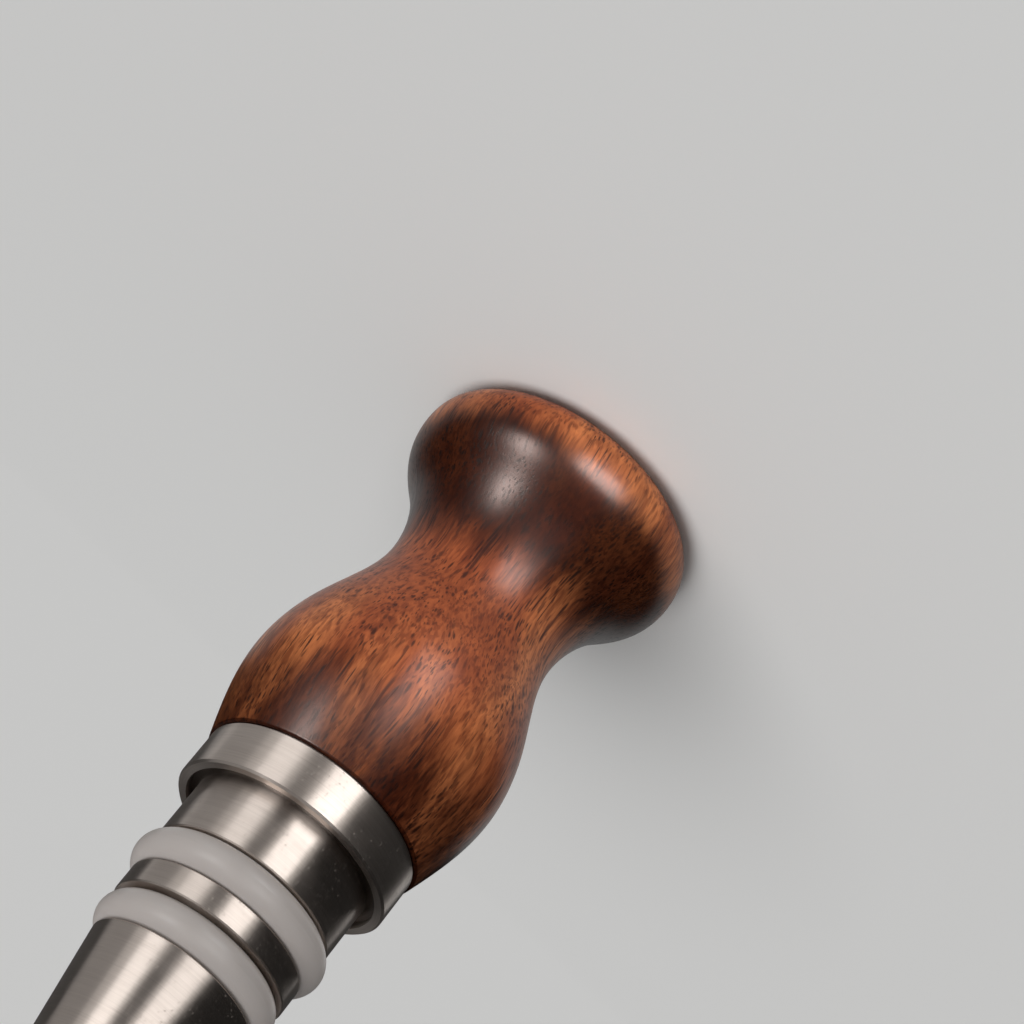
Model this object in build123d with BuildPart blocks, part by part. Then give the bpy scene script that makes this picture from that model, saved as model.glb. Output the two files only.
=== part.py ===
from build123d import *
from math import radians, tan
import os

# Bottle stopper: a turned wooden handle on a turned steel body with two sealing rings.
# It stands upside down on the flat crown of its head, with the tapered tip at the top.
# The origin is the centre of that flat crown, and +Z runs along the axis to the tip.

# Driving dimensions of the handle: radii, and heights above the crown
handle_length = 43.2
crown_flat_radius = 10.6
head_radius = 14.75
head_height = 3.5
shoulder_radius = 12.0
shoulder_height = 9.1
waist_radius = 9.4
waist_height = 17.7
flank_radius = 12.4
flank_height = 27.2
belly_radius = 13.4
belly_height = 32.2
foot_overhang = 0.2
foot_lean = 18.0
foot_edge_radius = 0.3

# Driving dimensions of the flange and of the shallow recess in its underside
flange_radius = 11.15
flange_thickness = 4.85
flange_edge_chamfer = 0.2
rim_width = 0.95
recess_width = 1.0
recess_depth = 0.8

# Driving dimensions of the neck, the land between the rings and the taper. Each step is
# how much smaller the radius is than that of the length before it.
neck_length = 5.9
root_fillet_radius = 0.6
land_step = 0.15
land_length = 2.6
edge_break = 0.12
taper_step = 0.6
taper_length = 21.5
taper_half_angle = 8.1
tip_edge_radius = 0.8

# Driving dimensions of the sealing rings, which are of round section and stand out past
# the neck, the upper one by more
ring_section_radius = 1.85
upper_ring_standout = 0.9
lower_ring_standout = 0.1
ring_side_clearance = 0.06
ring_floor_clearance = 0.05

# Driving dimensions of the joining stud and of its two blind bores
stud_radius = 4.0
stud_clearance = 0.05
stud_end_gap = 0.5
stud_chamfer = 0.6
handle_bore_depth = 14.0
body_bore_depth = 12.0

# Heights along the axis, each one worked out from the piece below it
seat_height = handle_length
flange_end = seat_height + flange_thickness
groove_width = 2 * (ring_section_radius + ring_side_clearance)
upper_groove_start = flange_end + neck_length
upper_groove_end = upper_groove_start + groove_width
lower_groove_start = upper_groove_end + land_length
lower_groove_end = lower_groove_start + groove_width
tip_height = lower_groove_end + taper_length
upper_ring_height = upper_groove_start + groove_width / 2
lower_ring_height = lower_groove_start + groove_width / 2

# Radii that follow from the sizes above
foot_radius = flange_radius + foot_overhang
recess_radius = flange_radius - rim_width
recess_floor = flange_end - recess_depth
neck_radius = recess_radius - recess_width
land_radius = neck_radius - land_step
taper_top_radius = land_radius - taper_step
tip_radius = taper_top_radius - taper_length * tan(radians(taper_half_angle))
bore_radius = stud_radius + stud_clearance
upper_ring_centre_radius = neck_radius + upper_ring_standout - ring_section_radius
lower_ring_centre_radius = neck_radius + lower_ring_standout - ring_section_radius
upper_floor_radius = upper_ring_centre_radius - ring_section_radius - ring_floor_clearance
lower_floor_radius = lower_ring_centre_radius - ring_section_radius - ring_floor_clearance


def corners_at(sketch, points):
    """Return the outline's corner nearest to each point."""
    return [sketch.vertices().sort_by_distance(point)[0] for point in points]


# Wooden handle: a spline rounds the rim of the head, and a second one runs down over
# the shoulder, waist, flank and belly to a foot that leans in, just proud of the flange
with BuildPart() as wooden_handle:
    with BuildSketch(Plane.XZ):
        with BuildLine():
            crown = Line((0, 0), (crown_flat_radius, 0))
            rim = Spline(crown @ 1, (head_radius, head_height), tangents=((1, 0), (0, 1)))
            foot = Vector(foot_radius, seat_height)
            side = Spline(
                rim @ 1,
                (shoulder_radius, shoulder_height),
                (waist_radius, waist_height),
                (flank_radius, flank_height),
                (belly_radius, belly_height),
                foot,
                tangents=((0, 1), Vector(0, 1).rotate(Axis.Z, foot_lean)),
            )
            Polyline(foot, (0, seat_height), (0, 0))
        make_face()
    revolve(axis=Axis.Z)
    fillet(wooden_handle.edges().group_by(Axis.Z)[-1], foot_edge_radius)
    with Locations((0, 0, seat_height)):
        Hole(radius=bore_radius, depth=handle_bore_depth)
wooden_handle.part.label = "wooden_handle"


# Steel body: one turned piece, from the flange under the wood to the flat tip
with BuildPart() as steel_body:
    with BuildSketch(Plane.XZ) as body_outline:
        flange_corners = [(flange_radius, seat_height), (flange_radius, flange_end)]
        neck_root = (neck_radius, recess_floor)
        tip_corner = (tip_radius, tip_height)
        groove_corners = [
            (neck_radius, upper_groove_start),
            (land_radius, upper_groove_end),
            (land_radius, lower_groove_start),
            (taper_top_radius, lower_groove_end),
        ]
        with BuildLine():
            Polyline(
                (0, seat_height),
                *flange_corners,
                (recess_radius, flange_end),
                (recess_radius, recess_floor),
                neck_root,
                groove_corners[0],
                (upper_floor_radius, upper_groove_start),
                (upper_floor_radius, upper_groove_end),
                groove_corners[1],
                groove_corners[2],
                (lower_floor_radius, lower_groove_start),
                (lower_floor_radius, lower_groove_end),
                groove_corners[3],
                tip_corner,
                (0, tip_height),
                close=True,
            )
        make_face()
        chamfer(corners_at(body_outline, flange_corners), flange_edge_chamfer)
        chamfer(corners_at(body_outline, groove_corners), edge_break)
        fillet(corners_at(body_outline, [neck_root]), root_fillet_radius)
        fillet(corners_at(body_outline, [tip_corner]), tip_edge_radius)
    revolve(axis=Axis.Z)
    with Locations(Plane.XY.offset(seat_height).rotated((180, 0, 0))):
        Hole(radius=bore_radius, depth=body_bore_depth)
steel_body.part.label = "steel_body"


# Sealing rings: each is a round section turned about the axis
def seal_ring(centre_radius, height):
    with BuildPart() as ring:
        with BuildSketch(Plane.XZ):
            with Locations((centre_radius, height)):
                Circle(ring_section_radius)
        revolve(axis=Axis.Z)
    return ring.part


upper_seal_ring = seal_ring(upper_ring_centre_radius, upper_ring_height)
upper_seal_ring.label = "upper_seal_ring"
lower_seal_ring = seal_ring(lower_ring_centre_radius, lower_ring_height)
lower_seal_ring.label = "lower_seal_ring"


# Joining stud: a plain rod with chamfered ends, short of the bottom of each bore
with BuildPart() as threaded_stud:
    stud_start = seat_height - handle_bore_depth + stud_end_gap
    stud_end = seat_height + body_bore_depth - stud_end_gap
    with BuildSketch(Plane.XY.offset(stud_start)):
        Circle(stud_radius)
    extrude(amount=stud_end - stud_start)
    chamfer(threaded_stud.edges().filter_by(GeomType.CIRCLE), stud_chamfer)
threaded_stud.part.label = "threaded_stud"


os.makedirs("parts", exist_ok=True)
export_step(wooden_handle.part, "parts/wooden_handle.step")
export_step(steel_body.part, "parts/steel_body.step")
export_step(upper_seal_ring, "parts/upper_seal_ring.step")
export_step(lower_seal_ring, "parts/lower_seal_ring.step")
export_step(threaded_stud.part, "parts/threaded_stud.step")
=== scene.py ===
from math import ceil, cos, radians, sin, tau

import bmesh
import bpy
from mathutils import Matrix, Vector


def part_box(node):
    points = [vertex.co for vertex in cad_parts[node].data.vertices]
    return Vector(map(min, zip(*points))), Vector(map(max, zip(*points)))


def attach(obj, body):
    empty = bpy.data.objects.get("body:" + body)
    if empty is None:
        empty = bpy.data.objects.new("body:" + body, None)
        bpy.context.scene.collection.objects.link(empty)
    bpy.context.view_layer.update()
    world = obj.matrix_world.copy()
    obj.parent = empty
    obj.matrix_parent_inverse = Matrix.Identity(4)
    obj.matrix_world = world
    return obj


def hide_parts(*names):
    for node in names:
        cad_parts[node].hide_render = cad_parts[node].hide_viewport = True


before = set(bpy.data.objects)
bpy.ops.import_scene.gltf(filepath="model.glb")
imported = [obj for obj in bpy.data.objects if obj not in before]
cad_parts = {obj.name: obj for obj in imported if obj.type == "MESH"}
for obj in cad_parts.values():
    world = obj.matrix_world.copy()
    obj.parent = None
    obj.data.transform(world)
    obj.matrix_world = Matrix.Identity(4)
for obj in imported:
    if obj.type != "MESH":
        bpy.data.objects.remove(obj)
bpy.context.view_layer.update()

# Lengths in this script are written in millimetres and turned into Blender's metres
MM = 0.001
WHITE = (1.0, 1.0, 1.0, 1.0)

scene = bpy.context.scene


# Camera: it looks down from the tip's side, and is rolled so that the tip points to the
# picture's lower left
CAMERA_LENS = 105.47
CAMERA_SENSOR = 36.0
CAMERA_CLIP = (10.0, 20000.0)
CAMERA_PLACE = (2.77, -246.41, 155.32)
CAMERA_RIGHT = (-0.7776, -0.3266, -0.5373)
CAMERA_UP = (0.6287, -0.4039, -0.6646)


def add_camera():
    data = bpy.data.cameras.new("camera")
    data.lens = CAMERA_LENS
    data.sensor_width = CAMERA_SENSOR
    data.sensor_fit = "HORIZONTAL"
    data.clip_start, data.clip_end = (length * MM for length in CAMERA_CLIP)
    camera = bpy.data.objects.new("camera", data)
    right = Vector(CAMERA_RIGHT).normalized()
    up = Vector(CAMERA_UP)
    up = (up - up.dot(right) * right).normalized()
    back = right.cross(up)
    turn = Matrix((right, up, back)).transposed().to_4x4()
    camera.matrix_world = Matrix.Translation(Vector(CAMERA_PLACE) * MM) @ turn
    scene.collection.objects.link(camera)
    scene.camera = camera


add_camera()


# A small kit for writing node materials
class Nodes:
    """Adds nodes to one tree and links them as they are made. A value may be a number, a
    colour, a vector or another node's output."""

    def __init__(self, tree):
        self.tree = tree
        tree.nodes.clear()

    def add(self, kind, inputs=(), **settings):
        """Makes a node, sets its properties, and sets or links its inputs by name or number."""
        node = self.tree.nodes.new(kind)
        for name, value in settings.items():
            setattr(node, name, value)
        for key, value in dict(inputs).items():
            if isinstance(value, bpy.types.NodeSocket):
                self.tree.links.new(value, node.inputs[key])
            else:
                node.inputs[key].default_value = value
        return node

    def math(self, operation, *values):
        node = self.add("ShaderNodeMath", dict(enumerate(values)), operation=operation)
        return node.outputs[0]

    def vector(self, operation, *values):
        node = self.add("ShaderNodeVectorMath", dict(enumerate(values)), operation=operation)
        return node.outputs["Value" if operation == "LENGTH" else "Vector"]

    def scaled(self, vector, factor):
        node = self.add("ShaderNodeVectorMath", {0: vector, "Scale": factor}, operation="SCALE")
        return node.outputs["Vector"]

    def place(self):
        """Where the point that is shaded lies on the object, in millimetres."""
        return self.scaled(self.add("ShaderNodeTexCoord").outputs["Object"], 1.0 / MM)

    def combine(self, x, y, z):
        return self.add("ShaderNodeCombineXYZ", {0: x, 1: y, 2: z}).outputs[0]

    def separate(self, vector):
        return self.add("ShaderNodeSeparateXYZ", {0: vector}).outputs

    def noise(self, vector, scale=1.0, detail=2.0, roughness=0.5, output="Fac"):
        inputs = {"Vector": vector, "Scale": scale, "Detail": detail, "Roughness": roughness}
        return self.add("ShaderNodeTexNoise", inputs).outputs[output]

    def span(self, value, low, high, to_low=0.0, to_high=1.0, smooth=True):
        """Maps value from low..high to to_low..to_high, held at the ends."""
        inputs = {0: value, 1: low, 2: high, 3: to_low, 4: to_high}
        kind = "SMOOTHSTEP" if smooth else "LINEAR"
        return self.add("ShaderNodeMapRange", inputs, interpolation_type=kind).outputs[0]

    def mix(self, factor, first, second, blend="MIX"):
        # A Mix node has one set of inputs for each data type: 6 and 7 are its colours
        inputs = {0: factor, 6: first, 7: second}
        node = self.add("ShaderNodeMix", inputs, data_type="RGBA", blend_type=blend)
        return node.outputs[2]

    def tint(self, tone, colour, mask, strength):
        """Takes tone towards a colour where the mask is, by up to that strength."""
        return self.mix(self.math("MULTIPLY", mask, strength), tone, colour)

    def darken(self, tone, shade, mask):
        """Multiplies tone by the shade where the mask is."""
        return self.mix(1.0, tone, self.mix(mask, WHITE, shade), blend="MULTIPLY")

    def bump(self, height, strength, depth):
        """A surface normal that stands for that relief, which is up to depth deep."""
        inputs = {"Height": height, "Strength": strength, "Distance": depth * MM}
        return self.add("ShaderNodeBump", inputs).outputs[0]

    def surface(self, inputs):
        """Ends the tree in a Principled shader."""
        shader = self.add("ShaderNodeBsdfPrincipled", inputs)
        self.add("ShaderNodeOutputMaterial", {0: shader.outputs[0]})


def rgba(red, green, blue):
    """A colour written as its 0 to 255 screen values, as Blender's linear values."""
    linear = []
    for value in (red, green, blue):
        share = value / 255
        linear.append(share / 12.92 if share <= 0.04045 else ((share + 0.055) / 1.055) ** 2.4)
    return (*linear, 1.0)


def new_material(name):
    material = bpy.data.materials.new(name)
    material.use_nodes = True
    return material, Nodes(material.node_tree)


# Studio: a pale floor under soft light. The place of a lamp or card is its azimuth, its
# elevation and its distance, all seen from the point on the axis whose height is its aim.
# Azimuth 0 is the camera's side, and 90 is +X.
FLOOR_SIZE = 12000.0
FLOOR_TONE = (0.84, 0.84, 0.83, 1.0)
WORLD_LIGHT = 0.27
WORLD_SHOWN = 0.57
WARM_WHITE = (1.0, 0.84, 0.78)


def add_floor():
    bpy.ops.mesh.primitive_plane_add(size=FLOOR_SIZE * MM)
    floor = bpy.context.object
    floor.name = "floor"
    material, nodes = new_material("floor")
    nodes.surface({"Base Color": FLOOR_TONE, "Roughness": 0.7, "Specular IOR Level": 0.2})
    floor.data.materials.append(material)


def add_world():
    """A white world. It looks brighter, to the camera and in gloss, than the light it gives."""
    world = bpy.data.worlds.new("world")
    scene.world = world
    world.use_nodes = True
    nodes = Nodes(world.node_tree)
    path = nodes.add("ShaderNodeLightPath").outputs
    shown = nodes.math("MAXIMUM", path["Is Camera Ray"], path["Is Glossy Ray"])
    shown = nodes.math("MAXIMUM", shown, path["Is Transmission Ray"])
    strength = nodes.span(shown, 0.0, 1.0, WORLD_LIGHT, WORLD_SHOWN, smooth=False)
    shader = nodes.add("ShaderNodeBackground", {"Color": WHITE, "Strength": strength})
    nodes.add("ShaderNodeOutputWorld", {0: shader.outputs[0]})


def aimed(thing, place, aim):
    """Puts a lamp or card at its place, facing the axis, and hides it from the camera."""
    azimuth, elevation, distance = place
    turn, rise = radians(azimuth), radians(elevation)
    outward = Vector((sin(turn) * cos(rise), -cos(turn) * cos(rise), sin(rise)))
    thing.location = (Vector((0.0, 0.0, aim)) + outward * distance) * MM
    thing.rotation_mode = "QUATERNION"
    thing.rotation_quaternion = outward.to_track_quat("Z", "Y")
    thing.visible_camera = False


def add_lamp(name, place, size, power, aim, spread=180.0):
    data = bpy.data.lights.new(name, "AREA")
    data.shape = "RECTANGLE"
    data.size, data.size_y = (side * MM for side in size)
    data.energy = power
    data.spread = radians(spread)
    lamp = bpy.data.objects.new(name, data)
    aimed(lamp, place, aim)
    scene.collection.objects.link(lamp)
    return lamp


def add_sky_lamp(name, place, strength, width):
    """A lamp as far off as the sun but as wide as a softbox, so it lights the floor evenly."""
    data = bpy.data.lights.new(name, "SUN")
    data.energy = strength
    data.angle = radians(width)
    lamp = bpy.data.objects.new(name, data)
    aimed(lamp, place, aim=0.0)
    scene.collection.objects.link(lamp)
    return lamp


def add_card(name, place, size, tone, aim):
    """A plain card that only the gloss of the object sees."""
    bpy.ops.mesh.primitive_plane_add(size=1.0)
    card = bpy.context.object
    card.name = name
    card.scale = (size[0] * MM, size[1] * MM, 1.0)
    aimed(card, place, aim)
    card.visible_diffuse = False
    card.visible_shadow = False
    material, nodes = new_material(name)
    shader = nodes.add("ShaderNodeEmission", {"Color": (tone, tone, tone, 1.0), "Strength": 1.0})
    nodes.add("ShaderNodeOutputMaterial", {0: shader.outputs[0]})
    card.data.materials.append(material)
    return card


def light_only(group, names, *lamps):
    """Lets those lamps and cards light the named CAD nodes alone, and not the floor."""
    lit = bpy.data.collections.new("lit_" + group)
    for name in names:
        lit.objects.link(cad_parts[name])
    for lamp in lamps:
        lamp.light_linking.receiver_collection = lit


def add_studio():
    add_floor()
    add_world()
    stopper = list(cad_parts)
    back = add_lamp("back_lamp", (160.0, 25.0, 420.0), (200.0, 240.0), power=0.24, aim=40.0)
    light_only("stopper", stopper, back)

    # Soft lamps and cards round the steel, which make the bands in it
    bands = [
        add_lamp("wide_key_lamp", (-9.0, 0.0, 78.0), (42.0, 26.0), power=0.0122, aim=13.5),
        add_lamp("wide_side_lamp", (47.0, 20.0, 300.0), (120.0, 130.0), power=0.135, aim=30.0),
        add_card("right_card", (-78.0, 0.0, 46.0), (104.0, 160.0), tone=0.02, aim=81.0),
        add_card("middle_card", (20.0, 0.0, 78.0), (23.0, 96.0), tone=0.1, aim=49.0),
        add_card("high_card", (-9.0, 0.0, 78.0), (40.0, 40.0), tone=1.9, aim=74.0),
        add_card("light_card", (48.0, 0.0, 78.0), (36.0, 24.0), tone=1.7, aim=13.0),
        add_card("left_card", (93.5, 0.0, 72.0), (57.0, 170.0), tone=0.28, aim=86.0),
        add_card("back_card", (173.0, 0.0, 80.0), (250.0, 180.0), tone=0.05, aim=91.0),
        add_card("top_card", (0.0, 90.0, 260.0), (300.0, 300.0), tone=0.12, aim=0.0),
    ]
    metal_and_rings = [name for name in stopper if name != "wooden_handle"]
    light_only("metal_and_rings", metal_and_rings, *bands)

    # Small bright lamps for the highlights in the wood's satin finish, and one that fills it in
    key_place = (-9.0, 0.0, 28.0)
    tall_place = (-4.0, -30.0, 32.0)
    key = add_lamp("key_lamp", key_place, (14.0, 9.5), power=0.0055, aim=5.75, spread=105.0)
    tall = add_lamp("tall_key_lamp", tall_place, (10.0, 24.0), power=0.0026, aim=46.0, spread=90.0)
    side = add_lamp("side_lamp", (47.0, 22.5, 295.0), (66.0, 132.0), power=1.75, aim=30.0)
    fill = add_lamp("fill_lamp", (12.0, 2.0, 150.0), (80.0, 60.0), power=0.29, aim=28.0)
    light_only("wood", ["wooden_handle"], key, tall, side, fill)
    for lamp in (key, tall, side):
        lamp.data.color = WARM_WHITE
        lamp.visible_diffuse = False

    top = add_sky_lamp("top_lamp", (30.0, 66.0, 600.0), strength=1.42, width=36.0)
    for lamp in (fill, top):
        lamp.visible_glossy = False


add_studio()


# Wood: dark reddish brown under a satin oil finish. Its grain leans from the axis by so much
# to the side for each millimetre of height, so it dives into the flank on one side and runs
# along the surface elsewhere.
WOOD_LIGHT = rgba(160, 95, 55)
WOOD_MIDDLE = rgba(128, 65, 35)
WOOD_DEEP = rgba(72, 28, 15)
WOOD_STREAK = rgba(42, 16, 13)
WOOD_PORE = rgba(38, 16, 11)
# The tone that the slopes facing the tip are multiplied by: partly darker end grain, partly
# painted shade
WOOD_END_GRAIN_AND_SHADE = (0.075, 0.045, 0.034, 1.0)
GRAIN_LEAN = (-0.09, 0.13)

# The smallest and the largest vessel, as shares of the radius that is asked for, and a
# vessel's fully dark core, as a share of its own radius
VESSEL_RANGE = (0.6, 1.15)
VESSEL_CORE = 0.35


class Grain:
    """The wood's grain, which leans and wanders, and the patterns that run with it."""

    def __init__(self, nodes):
        self.nodes = nodes
        x, y, self.z = nodes.separate(nodes.place())
        x = nodes.math("MULTIPLY_ADD", self.z, -GRAIN_LEAN[0], x)
        y = nodes.math("MULTIPLY_ADD", self.z, -GRAIN_LEAN[1], y)
        broad_waves = self.waves(x, y, across=0.05, along=0.03, size=6.0)
        small_waves = self.waves(x, y, across=0.4, along=0.12, size=0.9)
        shift = nodes.vector("ADD", broad_waves, small_waves)
        self.section = nodes.vector("ADD", nodes.combine(x, y, 0.0), shift)
        self.x, self.y, _ = nodes.separate(self.section)

    def stretched(self, x, y, across, along, offset=0.0):
        """Places in a pattern with so many cells to a millimetre across and along the grain."""
        return self.nodes.combine(
            self.nodes.math("MULTIPLY_ADD", x, across, offset),
            self.nodes.math("MULTIPLY", y, across),
            self.nodes.math("MULTIPLY", self.z, along),
        )

    def waves(self, x, y, across, along, size):
        """A shift to the side, by up to that size, which comes and goes in waves."""
        vector = self.stretched(x, y, across, along)
        colour = self.nodes.noise(vector, detail=1.0, output="Color")
        return self.nodes.vector("MULTIPLY", colour, (size, size, 0.0))

    def fibres(self, across, along, span, detail=1.0, roughness=0.5, offset=0.0):
        """A pattern that runs with the grain, with the span that its noise is mapped by. An
        offset keeps it apart from the others."""
        vector = self.stretched(self.x, self.y, across, along, offset)
        noise = self.nodes.noise(vector, detail=detail, roughness=roughness)
        return self.nodes.span(noise, *span)

    def vessels(self, cell, radius, offset=(0.0, 0.0, 0.0)):
        """Open vessels: thin tubes that run with the grain, one to each cell. They are dots
        where the turned surface cuts across the grain, and dashes where it runs with it."""
        nodes = self.nodes
        vector = nodes.scaled(nodes.vector("ADD", self.section, offset), 1.0 / cell)
        cells = {"Vector": vector, "Scale": 1.0, "Randomness": 1.0}
        tube = nodes.add("ShaderNodeTexVoronoi", cells, voronoi_dimensions="2D").outputs
        chance = nodes.separate(tube["Color"])[0]
        smallest, largest = (share * radius / cell for share in VESSEL_RANGE)
        wall = nodes.span(chance, 0.0, 1.0, smallest, largest, smooth=False)
        core = nodes.math("MULTIPLY", wall, VESSEL_CORE)
        return nodes.span(tube["Distance"], core, wall, to_low=1.0, to_high=0.0)


def pore_mask(nodes, grain):
    """Vessels that are broken along their length, with short fine dashes between them. Both
    are fainter in some bands."""
    breaks = grain.fibres(across=1.4, along=0.45, span=(0.31, 0.43), offset=3.0)
    large = grain.vessels(cell=0.92, radius=0.21)
    small = grain.vessels(cell=0.5, radius=0.12, offset=(40.0, 17.0, 0.0))
    dashes = grain.fibres(across=3.0, along=0.5, span=(0.58, 0.7, 0.0, 0.7), offset=31.0)
    bands = grain.fibres(across=0.3, along=0.1, span=(0.35, 0.6, 0.5, 1.0), offset=61.0)
    pores = nodes.math("MULTIPLY", nodes.math("MAXIMUM", large, small), breaks)
    return nodes.math("MULTIPLY", nodes.math("MAXIMUM", pores, dashes), bands)


def end_grain_and_shade_mask(nodes, broad, figure):
    """The slopes that look towards the tip, which are darkened: partly as end grain that drinks
    more of the oil, and partly as painted shade. The edge is uneven, because the bands and the
    figure drink differently."""
    slope = nodes.separate(nodes.add("ShaderNodeNewGeometry").outputs["Normal"])[2]
    for pattern, strength in ((broad, 0.14), (figure, 0.06)):
        swing = nodes.math("SUBTRACT", pattern, 0.5)
        slope = nodes.math("MULTIPLY_ADD", swing, strength, slope)
    return nodes.span(slope, -0.11, 0.43, to_high=0.94)


def wood_material():
    material, nodes = new_material("turned_wood")
    grain = Grain(nodes)

    # Broad bands of tone, a mottled figure in them, fine fibres, finer grains, and a few
    # broad dark streaks
    broad = grain.fibres(0.13, 0.03, span=(0.36, 0.64))
    figure = grain.fibres(0.6, 0.12, span=(0.36, 0.66), detail=4.0, roughness=0.68, offset=23.0)
    fine = grain.fibres(2.8, 0.13, span=(0.3, 0.7), detail=3.0, roughness=0.6, offset=11.0)
    grains = grain.fibres(2.9, 0.45, span=(0.48, 0.64), offset=47.0)
    streaks = grain.fibres(1.25, 0.13, span=(0.65, 0.75), detail=2.0, offset=5.0)
    pores = pore_mask(nodes, grain)

    tone = nodes.mix(broad, WOOD_LIGHT, WOOD_MIDDLE)
    tone = nodes.tint(tone, WOOD_DEEP, figure, strength=0.48)
    tone = nodes.tint(tone, WOOD_DEEP, fine, strength=0.36)
    tone = nodes.tint(tone, WOOD_DEEP, grains, strength=0.48)
    tone = nodes.tint(tone, WOOD_STREAK, streaks, strength=0.7)
    tone = nodes.tint(tone, WOOD_PORE, pores, strength=0.88)
    # Painted shade, with some darker end grain: the slopes that face the tip are darkened in the
    # colour
    tone = nodes.darken(tone, WOOD_END_GRAIN_AND_SHADE, end_grain_and_shade_mask(nodes, broad, figure))

    relief = nodes.math("SUBTRACT", nodes.math("MULTIPLY", fine, 0.4), pores)
    nodes.surface(
        {
            "Base Color": tone,
            "Roughness": nodes.span(pores, 0.0, 1.0, 0.32, 0.39, smooth=False),
            "Specular IOR Level": 0.18,
            "Normal": nodes.bump(relief, strength=0.2, depth=0.015),
        }
    )
    return material


# Steel: turned, so that very fine lines run round it and spread its reflections along the
# axis into bands. The recess in the flange is darkened with painted shade, most of it near
# the floor of the recess. Its floor, its mouth and its wall are where the CAD has them.
STEEL_LIGHT = rgba(214, 202, 193)
STEEL_DULL = rgba(188, 176, 167)
PAINTED_RECESS_SHADE = (0.3, 0.27, 0.25, 1.0)
RECESS_FLOOR = 47.25
RECESS_FLOOR_MARGIN = 0.1
RECESS_MOUTH = 48.05
RECESS_WALL_RADIUS = 10.2
RECESS_WALL_MARGIN = 0.05


def scuff_mask(nodes, place, smudge):
    """Tiny scuffs, stronger where the steel is smudged. They look dull where the steel is
    bright, and pale where it is dark."""
    cells = {"Vector": place, "Scale": 2.5, "Randomness": 1.0}
    speck = nodes.add("ShaderNodeTexVoronoi", cells).outputs
    chance = nodes.span(nodes.separate(speck["Color"])[0], 0.2, 1.0)
    dot = nodes.span(speck["Distance"], 0.08, 0.34, to_low=1.0, to_high=0.0)
    wear = nodes.span(smudge, 0.38, 0.62, to_low=0.3)
    return nodes.math("MULTIPLY", nodes.math("MULTIPLY", chance, dot), wear)


def painted_recess_shade_mask(nodes, radius, height):
    """Where painted shade darkens the recess: its inside, fading from its floor to its mouth."""
    inside = nodes.math("LESS_THAN", radius, RECESS_WALL_RADIUS + RECESS_WALL_MARGIN)
    lowest = RECESS_FLOOR + RECESS_FLOOR_MARGIN
    deep = nodes.span(height, lowest, RECESS_MOUTH, to_low=1.0, to_high=0.0)
    return nodes.math("MULTIPLY", inside, deep)


def steel_material():
    material, nodes = new_material("turned_steel")
    place = nodes.place()
    x, y, z = nodes.separate(place)
    # Height plus radius changes across the turning lines of a side and of a flat face alike
    radius = nodes.vector("LENGTH", nodes.combine(x, y, 0.0))
    across = nodes.math("ADD", z, radius)

    def turned(around, fineness, detail):
        """Marks that run round the axis, with so many cells to a millimetre around and across."""
        vector = nodes.combine(
            nodes.math("MULTIPLY", x, around),
            nodes.math("MULTIPLY", y, around),
            nodes.math("MULTIPLY", across, fineness),
        )
        return nodes.noise(vector, detail=detail, roughness=0.6)

    lines = turned(around=0.09, fineness=6.0, detail=3.0)
    marks = nodes.span(turned(around=0.2, fineness=7.0, detail=1.0), 0.6, 0.74)
    smudge = nodes.noise(place, scale=0.22, detail=3.0, roughness=0.6)
    scuffs = scuff_mask(nodes, place, smudge)

    dull = nodes.span(lines, 0.3, 0.75, to_high=0.4)
    dull = nodes.math("MULTIPLY_ADD", marks, 0.25, dull)
    tone = nodes.mix(dull, STEEL_LIGHT, STEEL_DULL)
    # Painted shade: the colour in the recess is darkened, most of all at its floor
    tone = nodes.darken(tone, PAINTED_RECESS_SHADE, painted_recess_shade_mask(nodes, radius, z))

    rough = nodes.span(smudge, 0.35, 0.65, to_low=0.285, to_high=0.34)
    rough = nodes.math("MULTIPLY_ADD", marks, 0.02, rough)
    rough = nodes.math("MULTIPLY_ADD", scuffs, 0.3, rough)
    tangent = nodes.add("ShaderNodeTangent", direction_type="RADIAL", axis="Z").outputs[0]
    nodes.surface(
        {
            "Base Color": tone,
            "Metallic": nodes.span(scuffs, 0.0, 1.0, 1.0, 0.84, smooth=False),
            "Roughness": rough,
            "Anisotropic": 0.9,
            "Anisotropic Rotation": 0.25,
            "Tangent": tangent,
            "Normal": nodes.bump(lines, strength=0.3, depth=0.003),
        }
    )
    return material


# Silicone: milky, with light that goes a little way into it
SILICONE_TONE = rgba(180, 173, 169)
SILICONE_DEPTH = (1.2, 1.1, 1.0)


def silicone_material():
    material, nodes = new_material("milky_silicone")
    nodes.surface(
        {
            "Base Color": SILICONE_TONE,
            "Roughness": 0.32,
            "Subsurface Weight": 0.5,
            "Subsurface Radius": [length * MM for length in SILICONE_DEPTH],
            "Subsurface Scale": 1.0,
        }
    )
    return material


def dress(node, material):
    """Gives a CAD node its finished material, in the slot that it came with."""
    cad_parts[node].material_slots[0].material = material


steel = steel_material()
silicone = silicone_material()
dress("wooden_handle", wood_material())
dress("steel_body", steel)
dress("upper_seal_ring", silicone)
dress("lower_seal_ring", silicone)


# Joining stud: its screw thread, for which the CAD piece is a plain rod. One turn of the
# thread's outline is (share of the pitch, share of the depth) from a crest to the next.
THREAD_PITCH = 1.25
THREAD_DEPTH = 0.61
THREAD_OUTLINE = ((0.0, 0.0), (0.125, 0.0), (0.4375, 1.0), (0.6875, 1.0))
THREAD_SHARP_ANGLE = 25.0
STUD_SIDES = 48
WELD_DISTANCE = 0.0001


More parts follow.
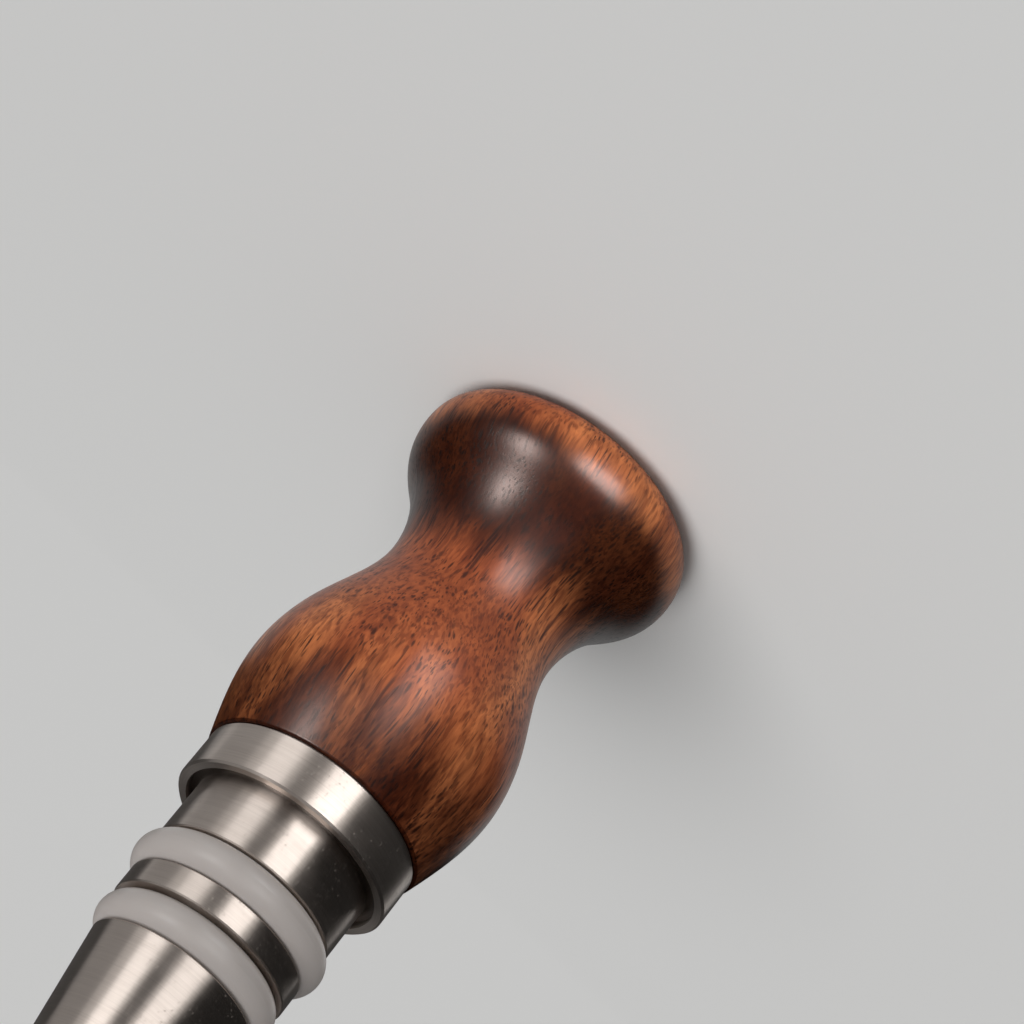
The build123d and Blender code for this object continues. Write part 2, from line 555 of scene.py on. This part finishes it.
def stud_mesh(radius, start, end):
    """A closed rod from start to end on the axis, with the thread wound round it."""
    # The rows start a turn below the rod and end a turn above it. What passes an end of the
    # rod is held there.
    per_turn = len(THREAD_OUTLINE)
    rows = per_turn * (ceil((end - start) / THREAD_PITCH) + 2)
    shape = bmesh.new()
    grid = {}
    for side in range(STUD_SIDES):
        angle = tau * side / STUD_SIDES
        for row in range(rows):
            share, depth = THREAD_OUTLINE[row % per_turn]
            climb = row // per_turn - 1 + share + side / STUD_SIDES
            z = min(max(start + climb * THREAD_PITCH, start), end)
            # Both ends are chamfered down to the thread's root
            lead = min(z - start, end - z)
            reach = min(radius - THREAD_DEPTH * depth, radius - THREAD_DEPTH + lead)
            point = Vector((reach * cos(angle), reach * sin(angle), z))
            grid[side, row] = shape.verts.new(point * MM)
    # The last side joins the first one a turn further up
    for row in range(rows - per_turn):
        grid[STUD_SIDES, row] = grid[0, row + per_turn]
    for side in range(STUD_SIDES):
        for row in range(rows - per_turn - 1):
            corners = ((side, row), (side + 1, row), (side + 1, row + 1), (side, row + 1))
            shape.faces.new([grid[corner] for corner in corners])
    # The rows that are held at an end lie on top of each other. They are joined, and the end
    # is closed with a flat face.
    bmesh.ops.remove_doubles(shape, verts=shape.verts, dist=WELD_DISTANCE * MM)
    bmesh.ops.holes_fill(shape, edges=[edge for edge in shape.edges if edge.is_boundary])
    bmesh.ops.recalc_face_normals(shape, faces=shape.faces)
    mesh = bpy.data.meshes.new("stud_thread")
    shape.to_mesh(mesh)
    shape.free()
    mesh.shade_smooth()
    mesh.set_sharp_from_angle(angle=radians(THREAD_SHARP_ANGLE))
    return mesh


def add_stud(material):
    low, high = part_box("threaded_stud")
    mesh = stud_mesh(radius=high[0] / MM, start=low[2] / MM, end=high[2] / MM)
    mesh.materials.append(material)
    piece = bpy.data.objects.new("stud_thread", mesh)
    scene.collection.objects.link(piece)
    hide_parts("threaded_stud")
    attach(piece, "root")


add_stud(steel)

scene.view_settings.view_transform = "Standard"
